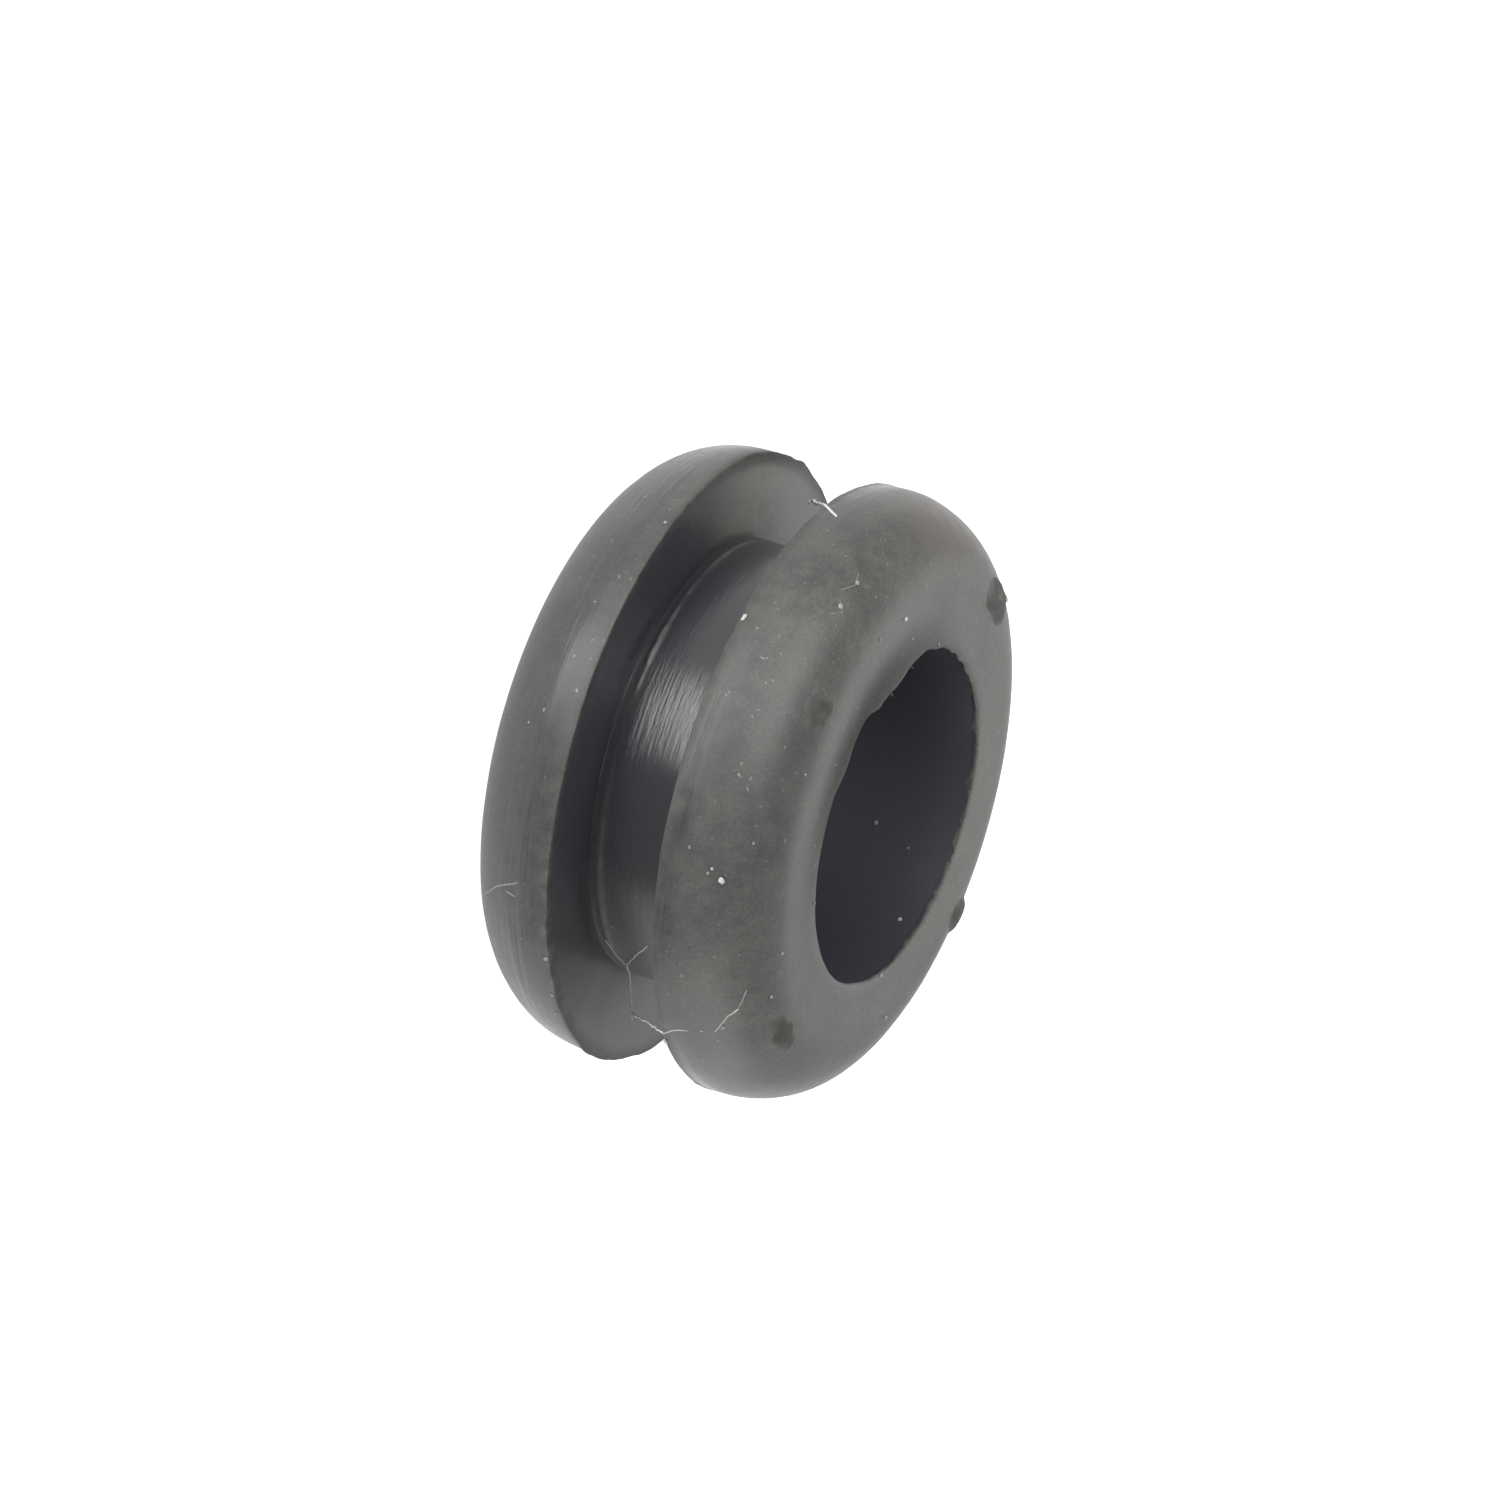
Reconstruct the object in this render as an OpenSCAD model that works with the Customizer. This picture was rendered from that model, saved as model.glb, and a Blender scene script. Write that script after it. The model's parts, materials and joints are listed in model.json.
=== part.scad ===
// Rubber grommet bushing: two domed flanges, a panel groove between them and a through bore.
// The bushing stands on one end face, with its axis along +Z and the vent pips on the upper end.
// All lengths are in millimetres.

/* [Flanges] */
// Diameter over both flanges
flange_d = 18; // [17.5:0.1:22]
// Thickness of each flange along the axis
flange_t = 3.1; // [2.4:0.1:5]
// Width of the straight land next to the groove, before the flange starts to curve in
land_w = 0.5; // [0.2:0.1:1]
// Width of the domed shoulder, measured inward from the flange's rim
dome_w = 2.3; // [1:0.1:2.5]
// Radius on each flange's edge at the groove
rim_edge_r = 0.1; // [0.05:0.05:0.2]

/* [Neck] */
// Diameter of the neck at the bottom of the groove
neck_d = 13; // [12:0.1:14]
// Width of the groove between the flanges
groove_w = 3.35; // [1.5:0.05:6]
// Fillet in both corners of the groove
neck_fillet_r = 0.1; // [0.05:0.05:0.5]

/* [Bore] */
// Diameter of the through bore
bore_d = 10; // [8:0.1:10.5]
// Radius of the rounded lip at each end of the bore
lip_r = 0.1; // [0.05:0.05:0.4]

/* [Vent pips] */
// Number of pips on the upper end
pip_count = 4; // [1:1:8]
// Diameter of one pip
pip_d = 1; // [0.6:0.1:1.6]
// Distance of each pip's centre inward from the flange's rim
pip_inset = 1.5; // [1:0.1:2.2]
// Height of a pip above the dome, measured square to the dome
pip_rise = 0.2; // [0.1:0.02:0.4]
// Radius on a pip's top edge
pip_edge_r = 0.1; // [0.05:0.01:0.2]
// Direction of the first pip about the axis, in degrees from +X
pip_start = -20; // [-45:1:45]

/* [Hidden] */
$fn = 180;

flange_r = flange_d / 2;
neck_r = neck_d / 2;
bore_r = bore_d / 2;
total_h = 2 * flange_t + groove_w;
groove_low_z = flange_t;
groove_high_z = flange_t + groove_w;
dome_h = flange_t - land_w;
// Radius where the flat end face turns into the dome
dome_start_r = flange_r - dome_w;
pip_pitch_r = flange_r - pip_inset;

// How many straight steps stand for a quarter turn of a large or a small curve
dome_steps = 20;
small_steps = 6;

// Points on an ellipse about centre c, from angle a0 to a1
function arc(c, rx, ry, a0, a1, steps) =
    [for (i = [0:steps])
        let (a = a0 + (a1 - a0) * i / steps)
        [c[0] + rx * cos(a), c[1] + ry * sin(a)]];

// How far along the dome's width a distance r from the axis lies, from 0 to 1
function dome_share(r) = max(0, r - dome_start_r) / dome_w;

// Height of the upper dome's surface at distance r from the axis
function dome_z(r) = total_h - dome_h + dome_h * sqrt(1 - pow(dome_share(r), 2));

// Angle by which the dome's surface leans outward there, in degrees
function dome_lean(r) =
    atan(dome_h / dome_w * dome_share(r) / sqrt(1 - pow(dome_share(r), 2)));

// Half section of the bushing, from the lower lip round the outside to the upper lip
function bushing_section() = concat(
    arc([bore_r + lip_r, lip_r], lip_r, lip_r, 180, 270, small_steps),
    arc([dome_start_r, dome_h], dome_w, dome_h, 270, 360, dome_steps),
    arc([flange_r - rim_edge_r, groove_low_z - rim_edge_r],
        rim_edge_r, rim_edge_r, 0, 90, small_steps),
    arc([neck_r + neck_fillet_r, groove_low_z + neck_fillet_r],
        neck_fillet_r, neck_fillet_r, 270, 180, small_steps),
    arc([neck_r + neck_fillet_r, groove_high_z - neck_fillet_r],
        neck_fillet_r, neck_fillet_r, 180, 90, small_steps),
    arc([flange_r - rim_edge_r, groove_high_z + rim_edge_r],
        rim_edge_r, rim_edge_r, -90, 0, small_steps),
    arc([dome_start_r, total_h - dome_h], dome_w, dome_h, 0, 90, dome_steps),
    arc([bore_r + lip_r, total_h - lip_r], lip_r, lip_r, 90, 180, small_steps)
);

// One pip: a short stub with a rounded top edge, whose root lies below z = 0
module pip() {
    root_z = -pip_d / 2;
    pip_r = pip_d / 2;
    rotate_extrude()
        polygon(concat(
            [[0, root_z], [pip_r, root_z]],
            arc([pip_r - pip_edge_r, pip_rise - pip_edge_r],
                pip_edge_r, pip_edge_r, 0, 90, small_steps),
            [[0, pip_rise]]));
}

// The ring of pips on the upper dome, each standing square to the dome
module pips() {
    for (i = [0:pip_count - 1])
        rotate([0, 0, pip_start + i * 360 / pip_count])
            translate([pip_pitch_r, 0, dome_z(pip_pitch_r)])
                rotate([0, dome_lean(pip_pitch_r), 0])
                    pip();
}

module rubber_bushing() {
    color([0.17, 0.17, 0.18]) {
        rotate_extrude()
            polygon(bushing_section());
        pips();
    }
}

rubber_bushing();
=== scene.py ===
"""The looks of a moulded rubber grommet bushing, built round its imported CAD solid.

The bushing stands on its plain end, with its axis along +Z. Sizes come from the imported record's mounts and
the CAD box, and finish details are in millimetres. An azimuth is in degrees about +Z, counted from +X, and a
turn is the same in radians.
"""
import json
import math

import bpy
import numpy as np
from mathutils import Matrix, Vector
from mathutils.bvhtree import BVHTree

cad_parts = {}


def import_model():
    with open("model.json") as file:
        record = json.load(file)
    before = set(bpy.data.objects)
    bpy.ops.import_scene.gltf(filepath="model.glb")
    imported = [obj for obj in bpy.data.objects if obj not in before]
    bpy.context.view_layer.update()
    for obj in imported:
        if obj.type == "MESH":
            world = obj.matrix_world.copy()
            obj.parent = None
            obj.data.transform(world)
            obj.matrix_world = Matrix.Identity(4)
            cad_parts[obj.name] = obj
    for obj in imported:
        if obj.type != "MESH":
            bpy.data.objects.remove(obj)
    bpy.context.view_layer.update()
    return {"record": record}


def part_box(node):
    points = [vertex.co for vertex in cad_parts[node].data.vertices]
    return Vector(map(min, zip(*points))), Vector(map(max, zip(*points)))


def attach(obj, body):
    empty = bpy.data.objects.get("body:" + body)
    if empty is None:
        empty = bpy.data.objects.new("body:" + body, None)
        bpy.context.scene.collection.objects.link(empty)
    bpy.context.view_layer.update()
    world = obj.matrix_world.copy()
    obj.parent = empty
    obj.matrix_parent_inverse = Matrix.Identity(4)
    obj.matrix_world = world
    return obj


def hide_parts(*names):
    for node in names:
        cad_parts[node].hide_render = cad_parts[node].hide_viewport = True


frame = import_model()

MM = 0.001
BODY = "root"
NODE = "rubber_bushing"

# ---------------------------------------------------------------- sizes from the frame, in millimetres
mounts = {m["name"]: m for m in frame["record"]["mounts"]}
low_corner, high_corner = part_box(NODE)
FLANGE_R = round((high_corner.x - low_corner.x) / 2 / MM, 2)
BORE_R = mounts["bore"]["dims"]["r_mm"]
NECK_R = mounts["panel_groove"]["dims"]["r_mm"]
GROOVE_LOW = mounts["groove_face_low"]["pos_m"][2] / MM
GROOVE_HIGH = mounts["groove_face_high"]["pos_m"][2] / MM
TOP = GROOVE_LOW + GROOVE_HIGH
LIP_R = (TOP - mounts["bore"]["dims"]["length_mm"]) / 2

# ---------------------------------------------------------------- the moulding's own form, in millimetres
LAND_W = 0.5                    # straight land beside the groove
DOME_W = 2.3                    # width of the domed shoulder
DOME_H = GROOVE_LOW - LAND_W
DOME_START = FLANGE_R - DOME_W
RIM_EDGE_R = 0.08               # rounding of the rims beside the groove
SEAM_Z = GROOVE_LOW + 0.28      # hairline seam of the mould's groove ring, on the neck
SEAM_END = GROOVE_LOW + 0.5     # the neck's mesh is finest up to here, for the seam
CLOSE = 0.01                    # lengths nearer than this count as the same
ROUNDING = 1e-6                 # a count of mesh steps is rounded up only if it is over by more

# Rows of mesh under the upper mouth's edge: how deep each lies, and how much of the torn skin it carries.
WEB_DEPTH = (0.02, 0.03, 0.05, 0.08, 0.11, 0.14, 0.17, 0.20, 0.24, 0.28, 0.33)
WEB_REACH = (0.0, 0.5, 0.9, 1.0, 0.9, 0.5, 0.0, 0.0, 0.0, 0.0, 0.0)

# ---------------------------------------------------------------- how fine the meshes are
AROUND = 720            # steps about the axis
LIP_STEPS = 3
DOME_STEPS = 18
EDGE_STEPS = 4
BORE_STEP = 0.6         # longest steps along the section, in millimetres
SEAM_STEP = 0.03
NECK_STEP = 0.15
OTHER_STEP = 0.35
PIP_AROUND = 32
LUMP_AROUND = 8
LUMP_RINGS = 5
FIBRE_AROUND = 6
FIBRE_STEP = 0.25

# ---------------------------------------------------------------- marks, dirt and painted light
# Marks that come and go round the bushing: rows of azimuth, half width in degrees, and strength. It is in
# millimetres for the marks down to "ragged mouth", and a share or a factor for the others.
MARKS = {
    "fuller dome": ((165, 50, 0.07),),
    "edge bulge": ((-5, 35, 0.08),),
    "edge nick": ((-82, 1.6, 0.05),),
    "torn tongues": ((-100, 9, 0.42), (-128, 8, 0.25), (-142, 14, 0.68)),
    "torn fringe": ((165, 20, 0.06),),
    "mouth flare": ((110, 80, 0.13),),
    "ragged mouth": ((155, 25, 0.07),),
    "worse flash": ((175, 45, 0.8), (-5, 40, 0.6)),
    "clean mouth": ((90, 80, 1.0),),
    "plainer seam": ((-115, 14, 1.4), (-165, 30, 0.5), (-32, 20, 0.4)),
    "rough seam": ((-170, 28, 0.55), (-45, 26, 0.55)),
    # The dust marks below are partly real dust and partly painted light. They lighten the groove's walls at
    # the top and bottom, where light comes in, and they lighten the neck. The beads paint a highlight on the
    # seam.
    "dust beads": ((-114, 10, 1.0),),
    "dusty walls": ((-170, 25, 1.0), (150, 20, 0.4)),
    "dusted all over": ((-12, 34, 0.5),),
    "dusty neck": ((-15, 38, 0.62),),
    "turned neck": ((-102, 14, 0.65),),
    "stained dome": ((-171, 14, 1.0),),
    # Dark torn skin in the upper mouth, and painted shade on the annulus beside it on the near side.
    "dull mouth": ((-115, 48, 1.0),),
    "dull spot": ((-79, 5, 0.9),),
    # Painted light on the bloom: paler on the far side as a painted reflection, and darker on the near dome
    # as painted shade.
    "paler bloom": ((110, 75, 0.8),),
    "thinner bloom": ((-93, 25, 0.35),),
    # A paler line on the lower rim: fluff, with a painted highlight on the flash.
    "scuffed rim": ((-40, 22, 1.0),),
    # The two torn rim bands below also carry painted shade beside the rims.
    "torn low rim": ((-168, 18, 0.6),),
    "torn high rim": ((-112, 26, 0.6),),
}
# Rings of a vent stub's skin: reach from its middle, and height, as shares of its own size.
PIP_PROFILE = ((1.30, -0.30), (1.18, 0.02), (1.06, 0.14), (0.94, 0.36),
               (0.80, 0.62), (0.62, 0.84), (0.42, 0.96), (0.18, 1.00))
PIPS = (
    # azimuth, radius, width round the dome, width down its slope, height, darkness
    (158.5, 7.25, 1.60, 1.00, 0.17, 0.50),
    (72, 7.25, 1.00, 0.90, 0.15, 0.50),
    (-25, 7.45, 1.50, 0.80, 0.07, 1.00),
    (-106.5, 7.6, 1.00, 0.95, 0.04, 0.80),
)
SPECKS = (
    # azimuth, radius, height, size, length for its width, paleness
    (-69, 8.7, 8.3, 0.16, 1.4, 0.55), (-71, 8.8, 8.0, 0.09, 1.2, 0.35), (-28, 9.0, 6.5, 0.15, 1.2, 0.5),
    (-117, 9.0, 6.6, 0.14, 1.8, 0.45), (56, 5.0, 8.9, 0.13, 1.0, 0.35), (-145, 6.6, 9.5, 0.14, 1.1, 0.6),
    (151, 7.9, 9.3, 0.24, 1.9, 0.6), (-135, 8.4, 8.7, 0.14, 1.2, 0.25), (-128, 8.4, 8.7, 0.15, 1.3, 0.25),
    (33, 6.7, 9.5, 0.12, 1.2, 0.3), (28, 5.1, 9.5, 0.11, 1.2, 0.35), (-70, 8.8, 7.9, 0.09, 1.2, 0.2),
    (-35, 8.6, 8.3, 0.11, 1.2, 0.25), (-42, 9.0, 3.0, 0.12, 1.5, 0.3), (-32, 9.0, 3.0, 0.11, 1.3, 0.3),
    (-26, 9.0, 2.9, 0.09, 1.2, 0.3), (86, 5.0, 7.0, 0.16, 1.0, 0.10), (132, 5.0, 6.8, 0.12, 1.4, 0.08),
    (81, 5.0, 8.2, 0.10, 1.2, 0.08), (148, 5.0, 7.6, 0.10, 1.4, 0.05), (60, 5.3, 9.5, 0.10, 1.2, 0.2),
    (-95, 9.0, 2.8, 0.10, 1.2, 0.25), (-132, 9.0, 2.9, 0.10, 1.2, 0.3), (-90, 8.9, 2.0, 0.09, 1.4, 0.2),
    (-39, 7.5, 9.3, 0.10, 1.2, 0.3), (-49, 7.0, 9.5, 0.09, 1.2, 0.3), (-150, 5.7, 9.5, 0.09, 1.2, 0.3),
    (-171, 5.1, 9.5, 0.10, 1.4, 0.2), (-132, 6.9, 9.5, 0.08, 1.2, 0.2), (-93, 7.3, 9.4, 0.08, 1.2, 0.25),
    (-102, 9.0, 7.1, 0.08, 1.2, 0.2), (-77, 8.2, 8.8, 0.08, 1.2, 0.2), (-89, 8.7, 8.1, 0.08, 1.2, 0.2),
    (-54, 5.1, 9.5, 0.09, 1.2, 0.2), (-74, 9.0, 7.3, 0.08, 1.5, 0.2), (-87, 8.8, 1.6, 0.07, 1.2, 0.3),
)
FIBRES = (
    # thickness, paleness, height over the rubber or None where it hangs free, and the places that it runs
    # between, each an azimuth, a radius and a height
    (0.045, 0.34, None, ((-28, 6.52, 3.35), (-21, 6.52, 3.45), (-15.4, 6.52, 3.63))),
    (0.045, 0.34, None, ((-40.5, 7.29, 5.31), (-30, 6.8, 4.5), (-15.4, 6.52, 3.63))),
    (0.050, 0.42, None, ((-15.4, 6.52, 3.63), (-5, 6.6, 3.3), (1.6, 6.95, 3.14), (6.3, 7.71, 3.14),
                         (7, 7.9, 3.14))),
    # This fibre is paler than the others as painted light: it hangs in the upper flange's shade.
    (0.052, 1.00, None, ((5, 7.65, 3.2), (-14, 7.9, 4.8), (-31, 9.05, 6.55))),
    (0.048, 0.45, None, ((-31, 9.05, 6.55), (-33, 9.02, 6.9), (-34, 8.87, 7.8))),
    (0.060, 0.42, 0.01, ((-34, 8.73, 8.11), (-38, 8.53, 8.47), (-39.5, 8.34, 8.72))),
    (0.042, 0.26, 0.01, ((-39.5, 8.34, 8.72), (-44, 8.13, 8.93))),
    (0.045, 0.28, 0.01, ((-47, 8.15, 0.57), (-51, 8.5, 1.0), (-54, 8.72, 1.36), (-57, 8.95, 2.12))),
    (0.042, 0.28, 0.01, ((-54.4, 8.87, 1.77), (-54, 8.94, 2.06))),
    (0.090, 0.80, 0.02, ((163, 8.3, 3.1), (161, 8.5, 3.1), (159, 8.55, 3.1))),
    (0.075, 0.70, None, ((162, 8.4, 3.14), (211, 9.12, 6.6), (213, 9.08, 7.1))),
    (0.042, 0.13, 0.01, ((-137, 8.5, 8.6), (-134, 8.4, 8.7), (-131, 8.6, 8.5))),
    (0.042, 0.13, 0.01, ((-129, 8.5, 8.6), (-127, 8.3, 8.8), (-125, 8.5, 8.6))),
)

# ---------------------------------------------------------------- colours, as linear red, green, blue, alpha
BARE_BLACK = (0.0190, 0.0193, 0.0200, 1)
BLOOM_GREY = (0.049, 0.052, 0.045, 1)
GLOSSY_BLACK = (0.0235, 0.0235, 0.0300, 1)
# Painted shade: the neck's glossy black is a little darker than the rest of the groove.
NECK_SHADE_BLACK = (0.0180, 0.0180, 0.0220, 1)
# Pale dust, also used as painted light in the groove and as a painted highlight on the seam.
DUST_AND_PAINTED_LIGHT_GREY = (0.075, 0.080, 0.068, 1)
# Dark torn skin in the upper mouth and a dark spot by the upper rim, also painted shade beside the mouth.
DULL_AND_SHADED_BLACK = (0.0060, 0.0050, 0.0040, 1)
# Painted shade deep in the bore, away from its mouths.
BORE_SHADE_BLACK = (0.020, 0.020, 0.027, 1)
STAIN_BROWN = (0.060, 0.040, 0.036, 1)
# Fluff on the lower rim, with a painted highlight on its flash.
RIM_FLUFF_AND_HIGHLIGHT_GREY = (0.085, 0.085, 0.082, 1)
DOT_GREY = (0.11, 0.11, 0.105, 1)
TORN_BLACK = (0.018, 0.0165, 0.015, 1)
TORN_GREY = (0.034, 0.032, 0.029, 1)
LINT_DARK = (0.04, 0.04, 0.04, 1)
LINT_PALE = (0.6, 0.6, 0.58, 1)
WHITE = (1, 1, 1, 1)

# What the body carries for its material, one value a vertex.
MASKS = ("groove", "neck", "streaky", "bore", "deep", "land",
         "dusty", "stain", "dull", "bloomed", "rim", "torn")
# The rubber's roughness, and how the masked parts change it. "glossy" is the clean groove and the bore.
PLAIN_ROUGHNESS = 0.45
ROUGHNESS_CHANGES = (("glossy", -0.24), ("neck", 0.03), ("bore", 0.20), ("land", -0.13), ("dull", 0.35),
                     ("torn", 0.50))

# ---------------------------------------------------------------- camera and lights
CAMERA_ELEVATION = 22.49
AXIS_SLOPE = 16.90              # degrees that the bushing's axis falls to the right in the picture
CAMERA_DISTANCE = 35.71         # in flange radii, as the two shifts of its aim are
AIM_RIGHT = 0.1476
AIM_UP = 0.0188
LENS = 268.9
WORLD_STRENGTH = 1.04
FLOOR_HALF = 2000
BOX_DISTANCE = 150
SOFT_BOXES = (
    # name, azimuth, elevation, width, height, radiance, colour
    ("overhead_box", 234, 40, 142, 71, 5.4, (1, 1.02, 0.97)),
    ("side_box", 240, 12, 71, 71, 2.7, (1, 1.01, 0.98)),
    ("low_fill", 8, 12, 142, 71, 2.1, (1, 1.01, 0.98)),
    ("back_fill", 105, 36, 71, 71, 1.3, (1, 1.01, 0.98)),
)
# Glows just over the floor before the groove, for the glint on the neck and the lower flange's highlight.
GLOW_HEIGHT = 0.5
GLOWS = (
    # name, azimuth, nearest and furthest from the axis, width, radiance
    ("neck_glow", -103, 16.5, 23.8, 15, 8),
    ("neck_core", -104.5, 18.6, 20.8, 5.5, 30),
    ("land_glow", -101, 10.9, 12.7, 5, 3.4),
)
# The card is a dark sheet that paints shade into the neck's reflection, and glows a little itself.
CARD_SPAN = (-98, -25)          # azimuths of the grey card's ends
CARD_RADII = (13, 38)
CARD_HEIGHT = 0.3
CARD_STEPS = 12


# ---------------------------------------------------------------- repeatable noise
def lattice(cells, seed):
    """A random value from -1 to 1 for each whole-number cell, the same on every run."""
    x, y, z = (cells[..., i].astype(np.int64) for i in range(3))
    mixed = (x * 73856093) ^ (y * 19349663) ^ (z * 83492791) ^ (seed * 2971215073)
    mixed = ((mixed ^ (mixed >> 13)) * 1274126177) & 0x7FFFFFFF
    mixed = ((mixed ^ (mixed >> 16)) * 668265263) & 0x7FFFFFFF
    return ((mixed >> 8) & 0xFFFF) / 32767.5 - 1


def noise(points, size, seed):
    """Smooth noise from -1 to 1 with features about size millimetres across."""
    scaled = np.asarray(points, float) / size
    cell = np.floor(scaled)
    share = scaled - cell
    share = share * share * (3 - 2 * share)
    total = 0
    for corner in np.ndindex(2, 2, 2):
        weight = np.prod(np.where(corner, share, 1 - share), axis=-1)
        total = total + weight * lattice(cell + np.array(corner), seed)
    return total


def ring_noise(turn, radius, size, seed):
    """Noise along a circle, for azimuths in radians."""
    circle = np.stack([np.cos(turn), np.sin(turn), np.zeros_like(turn)], axis=-1)
    return noise(circle * radius, size, seed)


def hump(turn, centre, half_width):
    """A smooth rise from 0 to 1 about one azimuth. turn is in radians, the others in degrees."""
    away = np.angle(np.exp(1j * (turn - math.radians(centre))))
    return np.exp(-(away / math.radians(half_width)) ** 2)


def marks(turn, kind):
    """How strong one kind of mark is at each azimuth, given in radians."""
    return sum(strength * hump(turn, azimuth, half_width) for azimuth, half_width, strength in MARKS[kind])


def rise(value, start, full):
    """0 up to start, 1 from full on, and straight in between."""
    return np.clip((value - start) / (full - start), 0, 1)


# ---------------------------------------------------------------- mesh helpers
def at(azimuth, radius, height):
    """The point at an azimuth in degrees, a distance from the axis and a height."""
    angle = math.radians(azimuth)
    return Vector((radius * math.cos(angle), radius * math.sin(angle), height))


def arc(centre, rx, rz, start, end, steps):
    """Points on an ellipse in the section plane, from one angle to another in degrees."""
    angles = np.radians(np.linspace(start, end, steps + 1))
    return np.stack([centre[0] + rx * np.cos(angles), centre[1] + rz * np.sin(angles)], axis=1)


def mesh_object(name, vertices, faces, smooth=True):
    """A new mesh object from vertices in millimetres."""
    mesh = bpy.data.meshes.new(name)
    mesh.from_pydata((np.asarray(vertices, float) * MM).tolist(), [], faces)
    mesh.polygons.foreach_set("use_smooth", [smooth] * len(mesh.polygons))
    mesh.update()
    made = bpy.data.objects.new(name, mesh)
    bpy.context.scene.collection.objects.link(made)
    return made


def lathe_faces(around, along):
    """Quads of a closed section swept right round, for vertices in rows of one azimuth each."""
    faces = []
    for i in range(around):
        here, there = i * along, (i + 1) % around * along
        for j in range(along):
            k = (j + 1) % along
            faces.append((here + j, there + j, there + k, here + k))
    return faces


def capped_rows(rows, along, first=0):
    """Faces of a skin over rows of points, each row a closed loop, with a flat cap on both ends."""
    faces = [tuple(first + j for j in reversed(range(along)))]
    for i in range(rows - 1):
        here, there = first + i * along, first + (i + 1) * along
        for j in range(along):
            k = (j + 1) % along
            faces.append((here + j, here + k, there + k, there + j))
    faces.append(tuple(first + (rows - 1) * along + j for j in range(along)))
    return faces


def sharpen(piece, corners):
    """Marks the edges round a lathed piece as sharp where its section has a sharp corner."""
    ends = np.empty(2 * len(piece.data.edges), np.int32)
    piece.data.edges.foreach_get("vertices", ends)
    sharp = corners[ends.reshape(-1, 2) % len(corners)].all(axis=1)
    piece.data.attributes.new("sharp_edge", "BOOLEAN", "EDGE").data.foreach_set("value", sharp)


def add_attribute(piece, name, values):
    """Stores one number or one vector a vertex, for the material to read."""
    values = np.asarray(values, np.float32)
    vector = values.shape[-1] == 3 and values.ndim > 1
    attribute = piece.data.attributes.new(name, "FLOAT_VECTOR" if vector else "FLOAT", "POINT")
    attribute.data.foreach_set("vector" if vector else "value", values.ravel())


def finish_piece(piece, material):
    """Gives a piece its material and ties it to the frame."""
    piece.data.materials.append(material)
    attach(piece, BODY)


# ---------------------------------------------------------------- the moulded body
def section_step(radius, height):
    """The longest mesh step along the section near one place."""
    if radius < BORE_R + LIP_R / 2:
        return BORE_STEP
    if radius < NECK_R + CLOSE and GROOVE_LOW < height < GROOVE_HIGH:
        return SEAM_STEP if height < SEAM_END else NECK_STEP
    return OTHER_STEP


def section_corners():
    """The closed half section's corners, as radius and height: up the outside, then down the bore."""
    lip_x = BORE_R + LIP_R
    rim_x = FLANGE_R - RIM_EDGE_R
    return np.concatenate([
        arc((lip_x, LIP_R), LIP_R, LIP_R, 180, 270, LIP_STEPS),
        arc((DOME_START, DOME_H), DOME_W, DOME_H, 270, 360, DOME_STEPS),
        arc((rim_x, GROOVE_LOW - RIM_EDGE_R), RIM_EDGE_R, RIM_EDGE_R, 0, 90, EDGE_STEPS),
        [(NECK_R, GROOVE_LOW), (NECK_R, SEAM_END), (NECK_R, GROOVE_HIGH)],
        arc((rim_x, GROOVE_HIGH + RIM_EDGE_R), RIM_EDGE_R, RIM_EDGE_R, -90, 0, EDGE_STEPS),
        arc((DOME_START, TOP - DOME_H), DOME_W, DOME_H, 0, 90, DOME_STEPS),
        [(lip_x, TOP)] + [(BORE_R, TOP - depth) for depth in WEB_DEPTH],
    ])


def section():
    """The same half section, with points enough for the mesh."""
    corners = section_corners()
    points = []
    for here, there in zip(corners, np.roll(corners, -1, axis=0)):
        step = section_step(*((here + there) / 2))
        parts = math.ceil(np.linalg.norm(there - here) / step - ROUNDING)
        points.extend(here + (there - here) * i / parts for i in range(parts))
    return np.array(points)


class Skin:
    """The body's grid of vertices: one row for each azimuth, with the whole half section in each row."""

    def __init__(self):
        self.outline = section()
        self.radius, self.height = self.outline.T
        self.depth = TOP - self.height
        self.turn = (np.arange(AROUND) * 2 * math.pi / AROUND)[:, None]
        self.shape = (AROUND, len(self.outline))

    def spread_out(self, values):
        """The same values over the whole grid."""
        return np.broadcast_to(values, self.shape)

    def near(self, radius, height, reach):
        """Weight from 0 to 1 of each section point by how near it is to one place in the section."""
        away = np.hypot(self.radius - radius, self.height - height)
        return np.exp(-(away / reach) ** 2)

    def by_seam(self, reach):
        """Weight from 0 to 1 of each section point by how near its height is to the seam's."""
        return np.exp(-((self.height - SEAM_Z) / reach) ** 2)

    def points(self, radius, height):
        """The grid's points, for the radius and height of each."""
        x, y = radius * np.cos(self.turn), radius * np.sin(self.turn)
        return np.stack([x, y, self.spread_out(height)], axis=-1)


def parting_flash(turn, seed):
    """How far the torn parting line stands out of a rim. It is worst at two opposite places."""
    worse = 0.35 + marks(turn, "worse flash")
    coarse = np.clip(ring_noise(turn, FLANGE_R, 1.4, seed), 0, 1)
    fine = ring_noise(turn, FLANGE_R, 0.4, seed + 1)
    return worse * (0.02 + 0.10 * coarse + 0.03 * fine)


def seam_ridge(skin, drawn):
    """How far the mould's seam stands out of the neck. It comes and goes round the neck."""
    seam = skin.by_seam(0.08) * (skin.radius < NECK_R + CLOSE)
    ridge = 0.030 + 0.02 * noise(drawn, 0.6, 14) + 0.015 * noise(drawn, 0.2, 15)
    return seam * (0.15 + marks(skin.turn, "plainer seam")) * np.clip(ridge, 0, None)


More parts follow.
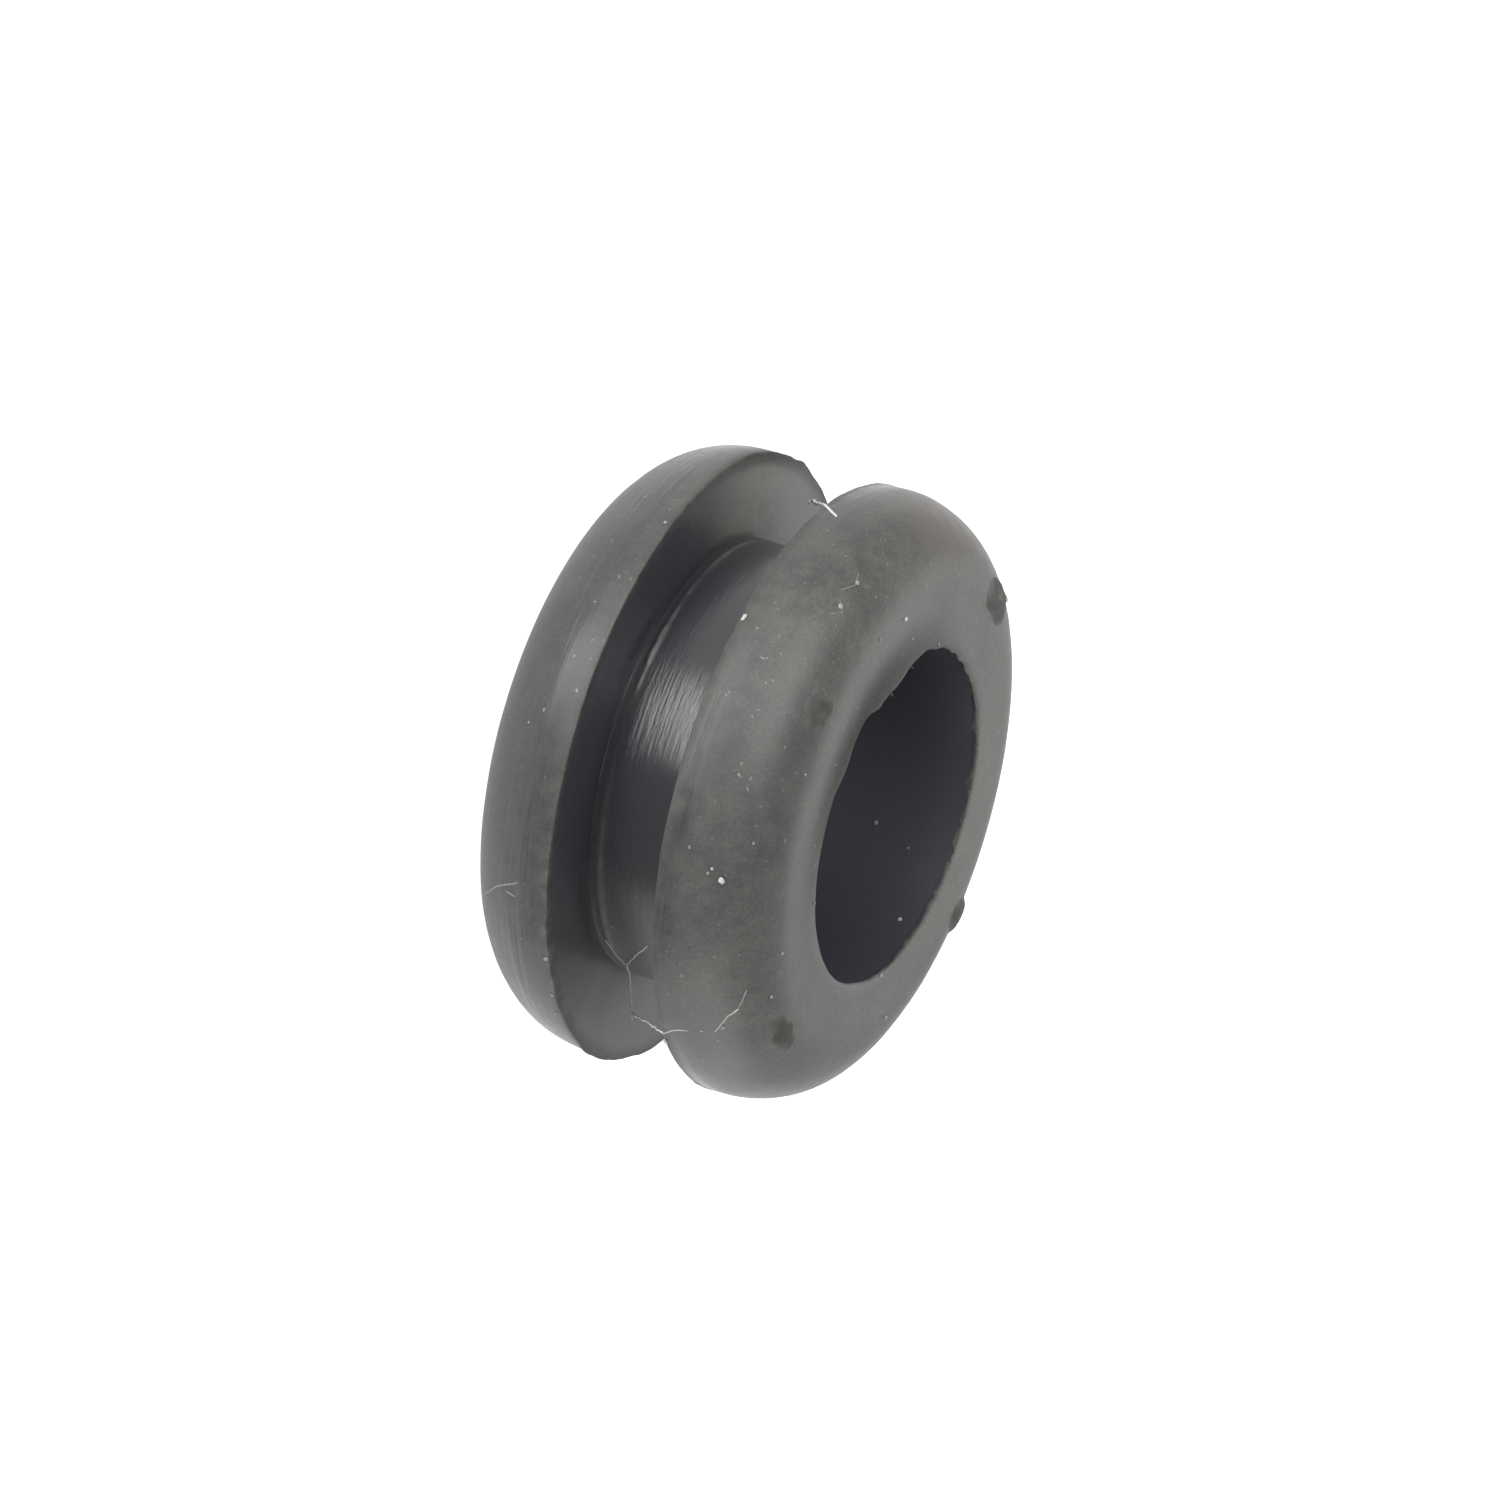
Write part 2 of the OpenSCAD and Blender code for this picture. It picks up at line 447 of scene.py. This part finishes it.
def swell(skin, drawn):
    """How far the real moulding stands out from the drawn form."""
    uneven = 0.012 * noise(drawn, 2.6, 11) + 0.005 * noise(drawn, 0.9, 12)
    on_upper_dome = rise(skin.height - GROOVE_HIGH, 0, 1) * rise(skin.radius - DOME_START, 0, 1)
    fuller = marks(skin.turn, "fuller dome") * on_upper_dome
    nick = marks(skin.turn, "edge nick") * skin.near(FLANGE_R, GROOVE_HIGH + 0.4, 0.25)
    return uneven + fuller + seam_ridge(skin, drawn) - nick


def web_width(turn):
    """How far the torn skin left by the mould reaches into the upper mouth."""
    width = (0.07 + 0.05 * ring_noise(turn, BORE_R, 0.7, 61)) * (1 - marks(turn, "clean mouth"))
    width = width + marks(turn, "torn tongues")
    width = width + marks(turn, "torn fringe") * (1 + ring_noise(turn, BORE_R, 0.18, 64))
    width = width * (1 + 0.12 * ring_noise(turn, BORE_R, 0.30, 62))
    return np.clip(width, 0, None)


def web_share(skin):
    """How much of the torn skin each row under the upper mouth's edge carries."""
    return np.interp(skin.depth, WEB_DEPTH, WEB_REACH) * (skin.radius < BORE_R + CLOSE)


def body_points(skin):
    """The drawn form, swollen, with torn parting lines, and torn skin and a flare in the upper mouth."""
    ahead = np.roll(skin.outline, -1, axis=0) - np.roll(skin.outline, 1, axis=0)
    ahead /= np.linalg.norm(ahead, axis=1, keepdims=True)
    out = swell(skin, skin.points(skin.radius, skin.height))
    radius = skin.radius + out * ahead[:, 1]
    height = skin.height - out * ahead[:, 0]
    for edge_z, seed in ((GROOVE_LOW, 21), (GROOVE_HIGH, 31)):
        radius = radius + skin.near(FLANGE_R, edge_z, 0.09) * parting_flash(skin.turn, seed)
    radius = radius + skin.near(FLANGE_R, GROOVE_LOW, 0.5) * marks(skin.turn, "edge bulge")
    web = web_share(skin) * web_width(skin.turn)
    radius = radius - web
    height = height - web * (0.12 + 0.1 * ring_noise(skin.turn, BORE_R, 0.5, 63))
    flare = (1 - rise(skin.depth, 0, 1.2)) * (skin.radius < BORE_R + 0.2)
    radius = radius + flare * marks(skin.turn, "mouth flare")
    return skin.points(radius, height)


# ---------------------------------------------------------------- what the body's material reads
def place_masks(skin):
    """Where the parts of the moulding are: the groove, its neck, the bore and the lands beside the groove."""
    groove = rise(FLANGE_R - skin.radius, 0.05, 0.35)
    groove = groove * (np.abs(skin.height - TOP / 2) < TOP / 4) * (skin.radius > (BORE_R + NECK_R) / 2)
    neck = (groove > 0) & (skin.radius < NECK_R + CLOSE)
    ragged = 0.10 + marks(skin.turn, "ragged mouth")
    torn_edge = ragged * (1 + ring_noise(skin.turn, BORE_R, 0.25, 41))
    bore = (skin.radius < BORE_R + 0.5 * LIP_R) & (skin.depth > torn_edge)
    # Painted shade: the bore gets darker away from both mouths.
    deep = bore * rise(np.minimum(skin.height, skin.depth), 0.75, 3.25)
    land = skin.near(FLANGE_R, GROOVE_LOW - 1.1, 0.6) + skin.near(FLANGE_R, GROOVE_HIGH + 0.3, 0.4)
    streaky = neck * (0.35 + marks(skin.turn, "turned neck"))
    return {"groove": groove, "neck": neck, "bore": bore, "deep": deep, "land": land, "streaky": streaky}


def dust_and_painted_light_mask(skin, groove, neck):
    """Pale dust on the groove's walls and neck, thickest in the lower corner, and beads of it on the seam. It
    is
    partly painted light: it lightens the walls at the top and bottom of the groove, where light comes in, and
    the neck, and its beads paint a highlight on the seam.
    """
    off_neck = rise(skin.radius - NECK_R, -0.2, 0.3)
    gathered = 1 + 0.5 * skin.near(NECK_R, GROOVE_LOW, 0.7)
    dusty = off_neck * marks(skin.turn, "dusty walls")
    dusty = np.maximum(dusty, (0.5 + 0.5 * off_neck) * marks(skin.turn, "dusted all over")) * groove
    dusty = np.maximum(dusty, neck * marks(skin.turn, "dusty neck")) * gathered
    beads = marks(skin.turn, "dust beads") * (0.75 + 0.4 * ring_noise(skin.turn, NECK_R, 0.3, 43))
    return np.maximum(dusty, skin.by_seam(0.10) * neck * beads)


def finish_masks(skin):
    """How the outer skin differs from place to place: stained; dull and dark at the torn upper mouth and at a
    spot by the upper rim, with painted shade on the annulus beside the mouth; with its bloom paler on the far
    side as a painted reflection and darker on the near dome as painted shade; and with a paler line on the
    lower rim, fluff with a painted highlight on the flash.
    """
    stain = marks(skin.turn, "stained dome") * skin.near(8.2, TOP - 0.8, 0.9)
    stain = stain + (web_share(skin) > 0.85) * np.clip(web_width(skin.turn) / 0.5, 0, 0.6)
    # Dark torn skin in the upper mouth, and painted shade on the annulus near it on the near side.
    dull = (1 - rise(skin.radius - BORE_R, 0.2, 1.2)) * (skin.depth < 0.1)
    dull = dull * marks(skin.turn, "dull mouth")
    dull = dull + marks(skin.turn, "dull spot") * skin.near(FLANGE_R, GROOVE_HIGH + 0.55, 0.16)
    # Painted light on the bloom: paler on the far side as a painted reflection, and darker on the near dome
    # as painted shade.
    bloomed = 1 + marks(skin.turn, "paler bloom") * (1 - rise(skin.depth, 1, 2))
    bloomed = bloomed - marks(skin.turn, "thinner bloom") * (skin.radius > DOME_START + 0.5)
    # A paler line on the lower rim: fluff, with a painted highlight on the flash.
    rim = marks(skin.turn, "scuffed rim") * skin.near(FLANGE_R, GROOVE_LOW, 0.10)
    return {"stain": stain, "dull": dull, "bloomed": bloomed, "rim": rim}


def torn_mask(skin, neck):
    """Where the rubber is torn and rough: along both parting lines, and on parts of the neck's seam. Its
    bands by the rims near -168 and -112 also carry painted shade.
    """
    # The band by the low rim near -168 also carries painted shade.
    torn = marks(skin.turn, "torn low rim") * skin.near(FLANGE_R, GROOVE_LOW, 0.32)
    torn = torn + 0.25 * skin.near(FLANGE_R, GROOVE_LOW, 0.14)
    torn = torn + marks(skin.turn, "rough seam") * skin.by_seam(0.16) * neck
    torn = torn + 0.4 * skin.near(FLANGE_R, GROOVE_HIGH, 0.20)
    # The band by the high rim near -112 also carries painted shade.
    return torn + marks(skin.turn, "torn high rim") * skin.near(FLANGE_R, GROOVE_HIGH + 0.15, 0.40)


def add_ring(piece, skin):
    """Stores a direction about the axis and a length along the section, for the streaks that run round."""
    along = np.cumsum(np.linalg.norm(np.diff(skin.outline, axis=0, prepend=skin.outline[-1:]), axis=1))
    turn = skin.spread_out(skin.turn)
    ring = np.stack([np.cos(turn), np.sin(turn), skin.spread_out(along)], axis=-1)
    add_attribute(piece, "ring", ring.reshape(-1, 3))


def bushing_body():
    skin = Skin()
    made = mesh_object("bushing_body", body_points(skin).reshape(-1, 3), lathe_faces(*skin.shape))
    masks = place_masks(skin)
    sharpen(made, masks["neck"] & np.isin(skin.height, (GROOVE_LOW, GROOVE_HIGH)))
    masks["dusty"] = dust_and_painted_light_mask(skin, masks["groove"], masks["neck"])
    masks["torn"] = torn_mask(skin, masks["neck"])
    masks.update(finish_masks(skin))
    for name in MASKS:
        add_attribute(made, name, skin.spread_out(masks[name]).ravel())
    add_ring(made, skin)
    return made


# ---------------------------------------------------------------- moulding marks
def dome_frame(azimuth, radius):
    """A point on the upper dome, with the directions round the dome and down its slope."""
    share = max(0, radius - DOME_START) / DOME_W
    fall = math.sqrt(1 - share ** 2)
    lean = math.atan2(DOME_H * share, DOME_W * fall)
    out = at(azimuth, math.sin(lean), math.cos(lean))
    round_it = at(azimuth + 90, 1, 0)
    return at(azimuth, radius, TOP - DOME_H + DOME_H * fall), round_it, round_it.cross(out)


def lifted(tree, spot, lift):
    """The nearest place on the body, lifted off it, and the way out of it."""
    place, out, _, _ = tree.find_nearest(spot * MM)
    return place / MM + out * lift, out


def vent_pip(tree, azimuth, radius, wide, tall, high, seed):
    """One torn vent stub, from a root just inside the dome to its rough top: points, faces and how torn."""
    centre, round_it, down = dome_frame(azimuth, radius)
    points, torn = [], []
    for reach, share in PIP_PROFILE:
        for j in range(PIP_AROUND):
            angle = 2 * math.pi * j / PIP_AROUND
            away = reach / 2 * (round_it * math.cos(angle) * wide + down * math.sin(angle) * tall)
            rough = noise(np.array([centre + away]), 0.30, seed)[0]
            fine = noise(np.array([centre + away]), 0.12, seed + 1)[0]
            lift = high * share + (0.04 * rough + 0.02 * fine) * max(0, share)
            points.append(lifted(tree, centre + away * (1 + 0.25 * rough), lift)[0])
            torn.append((1 - rise(reach, 0.7, 1.15)) * (1 + 0.5 * rough + 0.3 * fine))
    return points, capped_rows(len(PIP_PROFILE), PIP_AROUND), torn


def vent_pips(tree):
    vertices, faces, torn = [], [], []
    for index, (*place, darkness) in enumerate(PIPS):
        points, skin, share = vent_pip(tree, *place, 50 + 2 * index)
        faces.extend(tuple(len(vertices) + i for i in face) for face in skin)
        vertices.extend(points)
        torn.extend(darkness * value for value in share)
    made = mesh_object("vent_pips", vertices, faces)
    add_attribute(made, "torn", torn)
    add_attribute(made, "bloomed", np.ones(len(torn)))
    return made


# ---------------------------------------------------------------- dust and lint
def lump(centre, out, size, stretch, seed):
    """A rough grain lying on a surface: rows of points about its long axis, and its faces."""
    rng = np.random.default_rng(seed)
    side = Vector((-centre.y, centre.x, 0)).normalized()
    side.rotate(Matrix.Rotation(rng.uniform(-0.7, 0.7), 3, out))
    other = out.cross(side)
    points = []
    for step in np.linspace(-0.9, 0.9, LUMP_RINGS):
        wide = math.sqrt(1 - step ** 2)
        for j in range(LUMP_AROUND):
            angle = 2 * math.pi * j / LUMP_AROUND
            rough = 1 + rng.uniform(-0.3, 0.3)
            flat = other * math.cos(angle) + out * 0.6 * math.sin(angle)
            points.append(centre + size / 2 * (side * step * stretch + flat * wide * rough))
    return points, capped_rows(LUMP_RINGS, LUMP_AROUND)


def dust_specks(tree):
    vertices, faces, pale = [], [], []
    for index, (azimuth, radius, height, size, stretch, paleness) in enumerate(SPECKS):
        place, out = lifted(tree, at(azimuth, radius, height), size * 0.1)
        points, skin = lump(place, out, size, stretch, 100 + index)
        faces.extend(tuple(len(vertices) + i for i in face) for face in skin)
        vertices.extend(points)
        pale.extend([paleness] * len(points))
    made = mesh_object("dust_specks", vertices, faces)
    add_attribute(made, "pale", pale)
    return made


def fibre_path(tree, places, lift):
    """Points along a fibre, straight between its places, and laid on the rubber unless lift is None."""
    corners = [at(*place) for place in places]
    path = []
    for here, there in zip(corners, corners[1:]):
        parts = math.ceil((there - here).length / FIBRE_STEP)
        path.extend(here.lerp(there, i / parts) for i in range(parts))
    path.append(corners[-1])
    return path if lift is None else [lifted(tree, spot, lift)[0] for spot in path]


def fibre_points(path, thickness):
    """Rings of points about a path, which wanders a little."""
    skewed = Vector((0.31, 0.17, 0.93))     # a direction that no fibre runs along
    points = []
    for i, spot in enumerate(path):
        ahead = (path[min(i + 1, len(path) - 1)] - path[max(i - 1, 0)]).normalized()
        side = ahead.cross(skewed).normalized()
        other = ahead.cross(side)
        wander = 0.03 * Vector(noise(np.array([spot, spot + side, spot + other]), 0.4, 71))
        for j in range(FIBRE_AROUND):
            angle = 2 * math.pi * j / FIBRE_AROUND
            points.append(spot + wander + thickness / 2 * (side * math.cos(angle) + other * math.sin(angle)))
    return points


def lint_fibres(tree):
    vertices, faces, pale = [], [], []
    for thickness, paleness, lift, places in FIBRES:
        path = fibre_path(tree, places, lift)
        faces.extend(capped_rows(len(path), FIBRE_AROUND, len(vertices)))
        vertices.extend(fibre_points(path, thickness))
        pale.extend([paleness] * (len(path) * FIBRE_AROUND))
    made = mesh_object("lint_fibres", vertices, faces)
    made.visible_shadow = False         # hairs this fine let the light past
    made.visible_glossy = False
    add_attribute(made, "pale", pale)
    return made


# ---------------------------------------------------------------- shader helpers
def add_node(tree, kind, inputs=(), **settings):
    """A shader node, its settings, and for each named input a value or the socket that feeds it."""
    made = tree.nodes.new("ShaderNode" + kind)
    for key, value in settings.items():
        setattr(made, key, value)
    for key, value in dict(inputs).items():
        if isinstance(value, bpy.types.NodeSocket):
            tree.links.new(value, made.inputs[key])
        else:
            made.inputs[key].default_value = value
    return made


def maths(tree, operation, a, b):
    return add_node(tree, "Math", {0: a, 1: b}, operation=operation).outputs[0]


def times(tree, a, b):
    return maths(tree, "MULTIPLY", a, b)


def plus(tree, a, b):
    return maths(tree, "ADD", a, b)


def speckle(tree, size, detail):
    """Noise from 0 to 1 with features about size millimetres across."""
    where = add_node(tree, "TexCoord").outputs["Object"]
    found = add_node(tree, "TexNoise", {"Vector": where, "Scale": 1 / (size * MM), "Detail": detail})
    return found.outputs[0]


def spread(tree, value, low, high, out_low=0, out_high=1):
    """Stretches a value from one range to another, and holds it there."""
    sockets = {"Value": value, "From Min": low, "From Max": high, "To Min": out_low, "To Max": out_high}
    return add_node(tree, "MapRange", sockets).outputs["Result"]


def blend(tree, share, a, b):
    """A colour part way from a to b."""
    made = add_node(tree, "Mix", {"Factor": share}, data_type="RGBA")
    for name, value in (("A_Color", a), ("B_Color", b)):
        socket = next(i for i in made.inputs if i.identifier == name)
        if isinstance(value, bpy.types.NodeSocket):
            tree.links.new(value, socket)
        else:
            socket.default_value = value
    return next(o for o in made.outputs if o.identifier == "Result_Color")


def mask(tree, name):
    return add_node(tree, "Attribute", attribute_name=name).outputs["Fac"]


def new_material(name):
    made = bpy.data.materials.new(name)
    made.use_nodes = True
    return made, made.node_tree, made.node_tree.nodes["Principled BSDF"]


def ring_streaks(tree, length, pitch):
    """Fine streaks that run round the moulding: long about the axis, narrow along the section."""
    ring = add_node(tree, "Attribute", attribute_name="ring").outputs["Vector"]
    turns = FLANGE_R / length
    scaled = add_node(tree, "VectorMath", {0: ring, 1: (turns, turns, 1 / pitch)}, operation="MULTIPLY")
    return add_node(tree, "TexNoise", {"Vector": scaled.outputs[0], "Scale": 1.0, "Detail": 2.0}).outputs[0]


def bump_chain(tree, layers):
    """Bump nodes in a row. Each layer is a height, and how far it stands out in millimetres."""
    normal = None
    for height, depth in layers:
        sockets = {"Height": height, "Distance": depth * MM, "Strength": 1.0}
        if normal:
            sockets["Normal"] = normal
        normal = add_node(tree, "Bump", sockets).outputs[0]
    return normal


# ---------------------------------------------------------------- the rubber
def rubber_parts(tree):
    """What the rubber is mixed from: the body's masks, three sizes of noise, and how glossy or matt it is."""
    parts = {name: mask(tree, name) for name in MASKS}
    parts["clouds"] = speckle(tree, 1.8, 2.0)
    parts["patches"] = speckle(tree, 0.45, 3.0)
    parts["grain"] = speckle(tree, 0.09, 2.0)
    clean_groove = maths(tree, "SUBTRACT", parts["groove"], parts["dusty"])
    parts["glossy"] = maths(tree, "MAXIMUM", clean_groove, parts["bore"])
    parts["matt"] = maths(tree, "SUBTRACT", 1.0, parts["glossy"])
    parts["wholly_matt"] = spread(tree, parts["matt"], 0.7, 1)
    return parts


def bloom_share(tree, parts):
    """How much grey bloom shows. It is mottled, and thin on glossy and dull parts and the lands. It is also
    paler on the far side as a painted reflection, and darker on the near dome as painted shade.
    """
    mottle = plus(tree, times(tree, parts["clouds"], 0.6), times(tree, parts["patches"], 0.6))
    mottle = spread(tree, plus(tree, mottle, times(tree, parts["grain"], 0.8)), 0.7, 1.3)
    bare = maths(tree, "MAXIMUM", parts["dull"], times(tree, parts["land"], 0.5))
    bare = maths(tree, "MAXIMUM", parts["glossy"], bare)
    return times(tree, times(tree, mottle, spread(tree, bare, 0, 1, 1, 0.25)), parts["bloomed"])


def rubber_colour(tree, parts):
    patches = parts["patches"]
    dots = spread(tree, speckle(tree, 0.12, 0.0), 0.79, 0.90)
    layers = (
        (parts["glossy"], GLOSSY_BLACK),
        # painted shade: a darker black on the neck
        (times(tree, parts["neck"], parts["glossy"]), NECK_SHADE_BLACK),
        # pale dust, partly painted light in the groove and a painted highlight on the seam
        (spread(tree, parts["dusty"], 0.5, 1, 0, 0.7), DUST_AND_PAINTED_LIGHT_GREY),
        # dark torn skin, and painted shade on the annulus by the mouth
        (parts["dull"], DULL_AND_SHADED_BLACK),
        # painted shade deep in the bore
        (parts["deep"], BORE_SHADE_BLACK),
        (times(tree, parts["stain"], 0.7), STAIN_BROWN),
        # fluff on the lower rim, with a painted highlight on the flash
        (times(tree, parts["rim"], spread(tree, patches, 0.45, 0.65)), RIM_FLUFF_AND_HIGHLIGHT_GREY),
        (times(tree, dots, parts["matt"]), DOT_GREY),
        # torn rubber, with painted shade in the bands by the rims
        (parts["torn"], blend(tree, spread(tree, patches, 0.35, 0.65), TORN_BLACK, TORN_GREY)),
    )
    colour = blend(tree, bloom_share(tree, parts), BARE_BLACK, BLOOM_GREY)
    for share, over in layers:
        colour = blend(tree, share, colour, over)
    return colour


def rubber_roughness(tree, parts):
    uneven = spread(tree, parts["patches"], 0.35, 0.65, -0.03, 0.03)
    rough = plus(tree, times(tree, parts["wholly_matt"], uneven), PLAIN_ROUGHNESS)
    for name, change in ROUGHNESS_CHANGES:
        rough = plus(tree, rough, times(tree, parts[name], change))
    return rough


def rubber_bump(tree, parts):
    """Fine pocks and grit on matt rubber, turning marks on the neck and the lands, and torn edges."""
    return bump_chain(tree, (
        (times(tree, parts["patches"], parts["wholly_matt"]), 0.008),
        (times(tree, parts["grain"], parts["wholly_matt"]), 0.003),
        (times(tree, ring_streaks(tree, 1.2, 0.085), parts["streaky"]), 0.012),
        (times(tree, ring_streaks(tree, 3.0, 0.22), parts["land"]), 0.045),
        (times(tree, parts["patches"], parts["torn"]), 0.05),
    ))


def moulded_rubber():
    """Black rubber with a patchy grey bloom, glossier in the groove, and streaked as its mould was turned."""
    material, tree, shader = new_material("moulded_rubber")
    parts = rubber_parts(tree)
    tree.links.new(rubber_colour(tree, parts), shader.inputs["Base Color"])
    tree.links.new(rubber_roughness(tree, parts), shader.inputs["Roughness"])
    tree.links.new(rubber_bump(tree, parts), shader.inputs["Normal"])
    return material


def dust():
    """Pale grey lint and grit."""
    material, tree, shader = new_material("dust")
    uneven = spread(tree, speckle(tree, 0.08, 2.0), 0.3, 0.7, 0.7, 1.1)
    colour = blend(tree, times(tree, mask(tree, "pale"), uneven), LINT_DARK, LINT_PALE)
    tree.links.new(colour, shader.inputs["Base Color"])
    shader.inputs["Roughness"].default_value = 0.85
    return material


# ---------------------------------------------------------------- floor, light and camera
def glowing(name, grey, strength):
    """A matt grey that gives off some light of its own, as a lit table under the part does."""
    material, _, shader = new_material(name)
    shader.inputs["Base Color"].default_value = (grey, grey, grey, 1)
    shader.inputs["Roughness"].default_value = 0.9
    shader.inputs["Emission Color"].default_value = WHITE
    shader.inputs["Emission Strength"].default_value = strength
    return material


def floor():
    far = FLOOR_HALF
    corners = [(-far, -far, 0), (far, -far, 0), (far, far, 0), (-far, far, 0)]
    made = mesh_object("floor", corners, [(0, 1, 2, 3)], smooth=False)
    made.data.materials.append(glowing("pale_floor", 0.4, 1.02))


def grey_card():
    """A grey card on the floor before the groove, a dark sheet that paints shade into the neck's reflection
    where the floor under the groove would be shaded. It glows a little itself. Only reflections see it.
    """
    azimuths = np.linspace(*CARD_SPAN, CARD_STEPS + 1)
    points = [at(azimuth, radius, CARD_HEIGHT) for radius in CARD_RADII for azimuth in azimuths]
    faces = [(i, i + 1, i + CARD_STEPS + 2, i + CARD_STEPS + 1) for i in range(CARD_STEPS)]
    made = mesh_object("grey_card", points, faces, smooth=False)
    made.data.materials.append(glowing("grey_card", 0.02, 0.35))
    made.visible_camera = made.visible_diffuse = made.visible_shadow = False


def camera():
    """A long lens looking down on the groove, rolled so that the axis slopes down to the right."""
    elevation, axis_slope = math.radians(CAMERA_ELEVATION), math.radians(AXIS_SLOPE)
    back = Vector((0, -math.cos(elevation), math.sin(elevation)))
    level_up = Vector((0, math.sin(elevation), math.cos(elevation)))
    right = -math.sin(axis_slope) * Vector((1, 0, 0)) + math.cos(axis_slope) * level_up
    up = back.cross(right)
    aim = Vector((0, 0, GROOVE_LOW)) + FLANGE_R * (AIM_RIGHT * right + AIM_UP * up)
    data = bpy.data.cameras.new("camera")
    data.lens = LENS
    data.sensor_width = 36
    data.clip_start, data.clip_end = 0.01, 10
    made = bpy.data.objects.new("camera", data)
    turn = Matrix((right, up, back)).transposed().to_4x4()
    made.matrix_world = Matrix.Translation((aim + CAMERA_DISTANCE * FLANGE_R * back) * MM) @ turn
    bpy.context.scene.collection.objects.link(made)
    bpy.context.scene.camera = made


def world():
    made = bpy.data.worlds.new("world")
    made.use_nodes = True
    background = made.node_tree.nodes["Background"]
    background.inputs["Color"].default_value = WHITE
    background.inputs["Strength"].default_value = WORLD_STRENGTH
    bpy.context.scene.world = made
    bpy.context.scene.view_settings.view_transform = "Standard"


def soft_light(name, azimuth, place, back, width, height, radiance, colour=(1, 1, 1), shape="RECTANGLE"):
    """A soft light in millimetres, shining along -back. It isn't seen, but lights the part and its gloss."""
    data = bpy.data.lights.new(name, "AREA")
    data.shape = shape
    data.size, data.size_y = width * MM, height * MM
    data.energy = radiance * math.pi * data.size * data.size_y
    data.color = colour
    made = bpy.data.objects.new(name, data)
    side = at(azimuth + 90, 1, 0)
    turn = Matrix((side, back.cross(side), back)).transposed().to_4x4()
    made.matrix_world = Matrix.Translation(place * MM) @ turn
    made.visible_camera = False
    bpy.context.scene.collection.objects.link(made)


def studio_lights():
    middle = Vector((0, 0, TOP / 2))
    for name, azimuth, elevation, *box in SOFT_BOXES:
        back = at(azimuth, math.cos(math.radians(elevation)), math.sin(math.radians(elevation)))
        soft_light(name, azimuth, middle + BOX_DISTANCE * back, back, *box)
    facing_down = Vector((0, 0, -1))
    for name, azimuth, nearest, furthest, width, radiance in GLOWS:
        place = at(azimuth, (nearest + furthest) / 2, GLOW_HEIGHT)
        soft_light(name, azimuth, place, facing_down, width, furthest - nearest, radiance, shape="ELLIPSE")


# ---------------------------------------------------------------- the scene
rubber = moulded_rubber()
pale_dust = dust()
body = bushing_body()
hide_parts(NODE)
finish_piece(body, rubber)
body_tree = BVHTree.FromObject(body, bpy.context.evaluated_depsgraph_get())
finish_piece(vent_pips(body_tree), rubber)
finish_piece(dust_specks(body_tree), pale_dust)
finish_piece(lint_fibres(body_tree), pale_dust)

floor()
grey_card()
camera()
world()
studio_lights()
